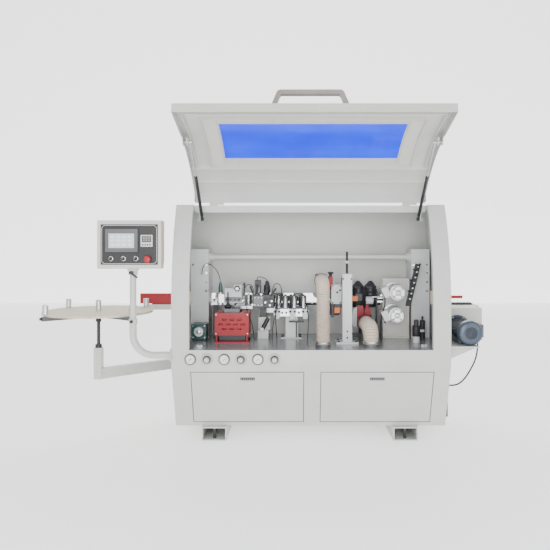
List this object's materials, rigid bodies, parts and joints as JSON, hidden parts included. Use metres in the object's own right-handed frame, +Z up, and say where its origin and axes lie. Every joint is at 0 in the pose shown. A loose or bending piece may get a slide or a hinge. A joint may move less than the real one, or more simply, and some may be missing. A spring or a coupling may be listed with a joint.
{
  "type": "edge banding machine",
  "caption": "Woodworking edge banding machine: sheet steel cabinet with a lift-up windowed hood, edge working units on a deck, panel conveyor, swivelling control panel and tape reel table.",
  "frame": {"origin": "floor point under the centre of the machine's outline with the hood lid open", "axes": "+X from the infeed end to the outfeed end, +Y from the operator's side to the conveyor, +Z up"},
  "size_m": [2.9259, 1.4325, 2.0178],
  "materials": {
    "cabinet_paint": "semi-gloss powder coat",
    "white_paint": "satin",
    "red_paint": "gloss",
    "dark_metal": "satin",
    "motor_blue": "satin",
    "motor_teal": "satin",
    "aluminium": "machined",
    "steel": "ground",
    "black_plastic": "moulded",
    "red_plastic": "gloss",
    "handle_plastic": "moulded",
    "hose_plastic": "ribbed",
    "cable_rubber": "smooth",
    "roller_rubber": "smooth",
    "window": "tinted sheet",
    "plywood": "clear coated",
    "cloth_wheel": "stitched cotton"
  },
  "bodies": {
    "root": {"base_cabinet": "cabinet_paint", "deck_plate": "cabinet_paint", "end_cover_left": "cabinet_paint", "end_cover_right": "cabinet_paint", "hood_back": "cabinet_paint", "feet": "cabinet_paint", "pressure_gauges": "aluminium", "conveyor_beam": "cabinet_paint", "conveyor_chain": "black_plastic", "infeed_fence": "red_paint", "lift_columns": "white_paint", "glue_guard": "red_paint", "tape_feed_unit": "aluminium", "feed_motor": "motor_teal", "tape_cutter": "dark_metal", "press_unit": "aluminium", "dust_hoses": "hose_plastic", "trim_column": "white_paint", "fine_trim_unit": "dark_metal", "buffing_unit": "dark_metal", "drive_housing": "cabinet_paint", "drive_motor": "motor_blue", "service_fittings": "black_plastic", "drive_cable": "cable_rubber", "control_post": "cabinet_paint", "reel_arm": "cabinet_paint"},
    "lid": {"lid_shell": "cabinet_paint", "lid_window_frame": "cabinet_paint", "lid_window": "window", "lid_handle": "handle_plastic"},
    "door_left": {"door_left": "cabinet_paint"},
    "door_right": {"door_right": "cabinet_paint"},
    "gas_cylinder_left": {"gas_cylinder_left": "dark_metal"},
    "gas_cylinder_right": {"gas_cylinder_right": "dark_metal"},
    "gas_rod_left": {"gas_rod_left": "steel"},
    "gas_rod_right": {"gas_rod_right": "steel"},
    "pressure_beam": {"pressure_beam": "white_paint"},
    "sync_shaft": {"sync_shaft": "white_paint"},
    "regulator_knob_1": {"regulator_knob_1": "black_plastic"},
    "regulator_knob_2": {"regulator_knob_2": "black_plastic"},
    "regulator_knob_3": {"regulator_knob_3": "black_plastic"},
    "tension_knob": {"tension_knob": "black_plastic"},
    "glue_roller": {"glue_roller": "steel"},
    "press_roller_large": {"press_roller_large": "roller_rubber"},
    "press_roller_1": {"press_roller_1": "steel"},
    "press_roller_2": {"press_roller_2": "steel"},
    "press_roller_3": {"press_roller_3": "steel"},
    "buff_wheel_upper": {"buff_wheel_upper": "cloth_wheel"},
    "buff_wheel_lower": {"buff_wheel_lower": "cloth_wheel"},
    "end_trim_unit": {"end_trim_unit": "dark_metal"},
    "control_panel": {"control_arm": "cabinet_paint", "control_box": "cabinet_paint"},
    "clamp_lever": {"clamp_lever": "black_plastic"},
    "e_stop": {"e_stop": "red_plastic"},
    "selector_1": {"selector_1": "black_plastic"},
    "selector_2": {"selector_2": "black_plastic"},
    "selector_3": {"selector_3": "black_plastic"},
    "reel_spindle": {"reel_spindle": "dark_metal"},
    "reel_table": {"reel_cross": "steel", "reel_disc": "plywood"}
  },
  "joints": [
    {"name": "lid_hinge", "type": "hinge", "parent": "root", "child": "lid", "pos_m": [0.248, 0.09425, 1.475], "axis": [1, 0, 0], "range_deg": [0, 105]},
    {"name": "gas_cylinder_left_turn", "type": "hinge", "parent": "root", "child": "gas_cylinder_left", "pos_m": [-0.436, 0.07125, 1.376], "axis": [1, 0, 0], "range_deg": [0, 114]},
    {"name": "gas_rod_left_slide", "type": "slide", "parent": "gas_cylinder_left", "child": "gas_rod_left", "axis": [0, -0.7478, 0.664], "range_m": [-0.16, 0]},
    {"name": "gas_cylinder_right_turn", "type": "hinge", "parent": "root", "child": "gas_cylinder_right", "pos_m": [0.932, 0.07125, 1.376], "axis": [1, 0, 0], "range_deg": [0, 114]},
    {"name": "gas_rod_right_slide", "type": "slide", "parent": "gas_cylinder_right", "child": "gas_rod_right", "axis": [0, -0.7478, 0.664], "range_m": [-0.16, 0]},
    {"name": "door_left_lift_off", "type": "slide", "parent": "root", "child": "door_left", "axis": [0, -0.9369, -0.3496], "range_m": [0, 0.08]},
    {"name": "door_right_lift_off", "type": "slide", "parent": "root", "child": "door_right", "axis": [0, -0.9369, -0.3496], "range_m": [0, 0.08]},
    {"name": "pressure_beam_lift", "type": "slide", "parent": "root", "child": "pressure_beam", "axis": [0, 0, 1], "range_m": [-0.016, 0.03]},
    {"name": "sync_shaft_turn", "type": "hinge", "parent": "root", "child": "sync_shaft", "pos_m": [0.248, 0.41625, 1.129], "axis": [1, 0, 0], "range_deg": [-40, 72]},
    {"name": "regulator_knob_1_turn", "type": "hinge", "parent": "root", "child": "regulator_knob_1", "pos_m": [-0.377, -0.16375, 0.526], "axis": [0, -1, 0], "continuous": true},
    {"name": "regulator_knob_2_turn", "type": "hinge", "parent": "root", "child": "regulator_knob_2", "pos_m": [-0.174, -0.16375, 0.526], "axis": [0, -1, 0], "continuous": true},
    {"name": "regulator_knob_3_turn", "type": "hinge", "parent": "root", "child": "regulator_knob_3", "pos_m": [0.028, -0.16375, 0.526], "axis": [0, -1, 0], "continuous": true},
    {"name": "tension_knob_turn", "type": "hinge", "parent": "root", "child": "tension_knob", "pos_m": [-0.226, 0.19625, 0.926], "axis": [0, -1, 0], "continuous": true},
    {"name": "glue_roller_spin", "type": "hinge", "parent": "root", "child": "glue_roller", "pos_m": [-0.172, 0.49625, 0.83], "axis": [0, 0, 1], "continuous": true},
    {"name": "press_roller_large_spin", "type": "hinge", "parent": "root", "child": "press_roller_large", "pos_m": [-0.014, 0.52425, 0.82], "axis": [0, 0, 1], "continuous": true},
    {"name": "press_roller_1_spin", "type": "hinge", "parent": "root", "child": "press_roller_1", "pos_m": [0.056, 0.52425, 0.82], "axis": [0, 0, 1], "continuous": true},
    {"name": "press_roller_2_spin", "type": "hinge", "parent": "root", "child": "press_roller_2", "pos_m": [0.126, 0.52425, 0.82], "axis": [0, 0, 1], "continuous": true},
    {"name": "press_roller_3_spin", "type": "hinge", "parent": "root", "child": "press_roller_3", "pos_m": [0.203, 0.52425, 0.82], "axis": [0, 0, 1], "continuous": true},
    {"name": "buff_wheel_upper_spin", "type": "hinge", "parent": "root", "child": "buff_wheel_upper", "pos_m": [0.819, 0.49625, 0.902], "axis": [0, 1, 0], "continuous": true},
    {"name": "buff_wheel_lower_spin", "type": "hinge", "parent": "root", "child": "buff_wheel_lower", "pos_m": [0.813, 0.49625, 0.755], "axis": [0, 1, 0], "continuous": true},
    {"name": "end_trim_height", "type": "slide", "parent": "root", "child": "end_trim_unit", "axis": [0, 0, 1], "range_m": [-0.02, 0.02]},
    {"name": "control_panel_swivel", "type": "hinge", "parent": "root", "child": "control_panel", "pos_m": [-0.823, -0.13375, 0.769], "axis": [0, 0, 1], "range_deg": [-60, 60]},
    {"name": "clamp_lever_turn", "type": "hinge", "parent": "control_panel", "child": "clamp_lever", "pos_m": [-0.823, -0.16375, 1.046], "axis": [0, -1, 0], "range_deg": [0, 50]},
    {"name": "e_stop_press", "type": "slide", "parent": "control_panel", "child": "e_stop", "axis": [0, 1, 0], "range_m": [0, 0.005], "stiffness_N_per_m": 800, "springref_m": -0.003},
    {"name": "selector_1_turn", "type": "hinge", "parent": "control_panel", "child": "selector_1", "pos_m": [-0.948, -0.18375, 1.131], "axis": [0, -1, 0], "range_deg": [-45, 45]},
    {"name": "selector_2_turn", "type": "hinge", "parent": "control_panel", "child": "selector_2", "pos_m": [-0.873, -0.18375, 1.131], "axis": [0, -1, 0], "range_deg": [-45, 45]},
    {"name": "selector_3_turn", "type": "hinge", "parent": "control_panel", "child": "selector_3", "pos_m": [-0.799, -0.18375, 1.131], "axis": [0, -1, 0], "range_deg": [-45, 45]},
    {"name": "reel_height", "type": "slide", "parent": "root", "child": "reel_spindle", "axis": [0, 0, 1], "range_m": [0, 0.08]},
    {"name": "reel_spin", "type": "hinge", "parent": "reel_spindle", "child": "reel_table", "pos_m": [-1.119, 0.15125, 0.76], "axis": [0, 0, 1], "continuous": true}
  ],
  "couplings": [
    {"joint": "gas_cylinder_left_turn", "follows": "lid_hinge", "ratio": 1.0751},
    {"joint": "gas_rod_left_slide", "follows": "lid_hinge", "m_per_rad": -0.077942},
    {"joint": "gas_cylinder_right_turn", "follows": "lid_hinge", "ratio": 1.0751},
    {"joint": "gas_rod_right_slide", "follows": "lid_hinge", "m_per_rad": -0.077942},
    {"joint": "sync_shaft_turn", "follows": "pressure_beam_lift", "rad_per_m": 40}
  ]
}
